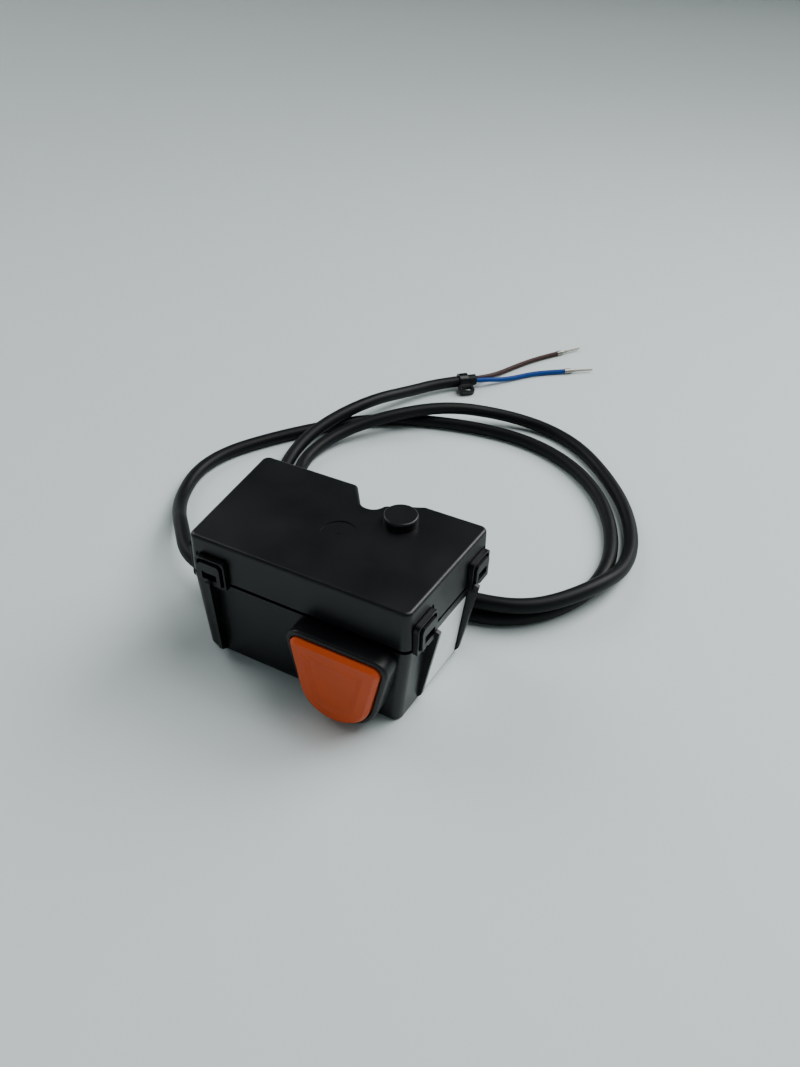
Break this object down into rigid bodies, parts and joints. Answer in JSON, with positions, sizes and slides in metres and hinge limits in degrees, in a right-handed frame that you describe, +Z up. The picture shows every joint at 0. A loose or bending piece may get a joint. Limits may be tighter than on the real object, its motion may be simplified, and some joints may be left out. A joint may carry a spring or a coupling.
{
  "type": "dead man switch",
  "caption": "Black snap-lid box with a sprung orange hand paddle in a hood, a hidden snap-action switch, and a loose two-core cable with bare tinned ends.",
  "frame": {"origin": "centre of the flat underside, half-way between the front and rear walls at the parting line", "axes": "+X across the box to the label side, -Y towards the paddle, +Z up"},
  "size_m": [0.2461, 0.3837, 0.0662],
  "materials": {
    "black_moulding": "satin injection moulding",
    "orange_moulding": "satin injection moulding",
    "steel": "bright drawn steel",
    "switch_moulding": "thermoset moulding",
    "plunger_moulding": "moulded",
    "brass_blade": "stamped",
    "sleeve_nylon": "moulded nylon",
    "cable_sheath": "matt extruded sheath",
    "tie_nylon": "moulded nylon",
    "brown_sheath": "extruded insulation",
    "blue_sheath": "extruded insulation",
    "tinned_metal": "tinned copper",
    "white_film": "coated film"
  },
  "bodies": {
    "housing": {"lower_housing": "black_moulding", "cover": "black_moulding", "dome_plug": "black_moulding", "paddle_pin": "steel", "switch_case": "switch_moulding", "switch_terminals": "brass_blade", "switch_screws": "steel", "switch_carrier": "black_moulding", "carrier_screws": "steel", "lead_receptacles": "sleeve_nylon", "brown_lead": "brown_sheath", "blue_lead": "blue_sheath", "cord_clamp": "black_moulding", "clamp_screws": "steel", "cable_gland": "cable_sheath", "cable_entry": "cable_sheath", "cable_jacket": "cable_sheath", "cable_tie": "tie_nylon", "brown_core": "brown_sheath", "blue_core": "blue_sheath", "brown_crimp": "tinned_metal", "blue_crimp": "tinned_metal", "brown_strands": "tinned_metal", "blue_strands": "tinned_metal", "blank_label": "white_film"},
    "paddle": {"paddle": "orange_moulding", "paddle_spring": "steel"},
    "plunger": {"switch_plunger": "plunger_moulding"}
  },
  "joints": [
    {"name": "paddle_hinge", "type": "hinge", "parent": "housing", "child": "paddle", "pos_m": [0.0238, -0.0377, 0.034], "axis": [1, 0, 0], "range_deg": [0, 6], "stiffness_Nm_per_rad": 2, "springref_deg": -6.88},
    {"name": "plunger_slide", "type": "slide", "parent": "housing", "child": "plunger", "axis": [0, 1, 0], "range_m": [0, 0.0017]}
  ],
  "couplings": [
    {"joint": "plunger_slide", "follows": "paddle_hinge", "m_per_rad": 0.015}
  ]
}
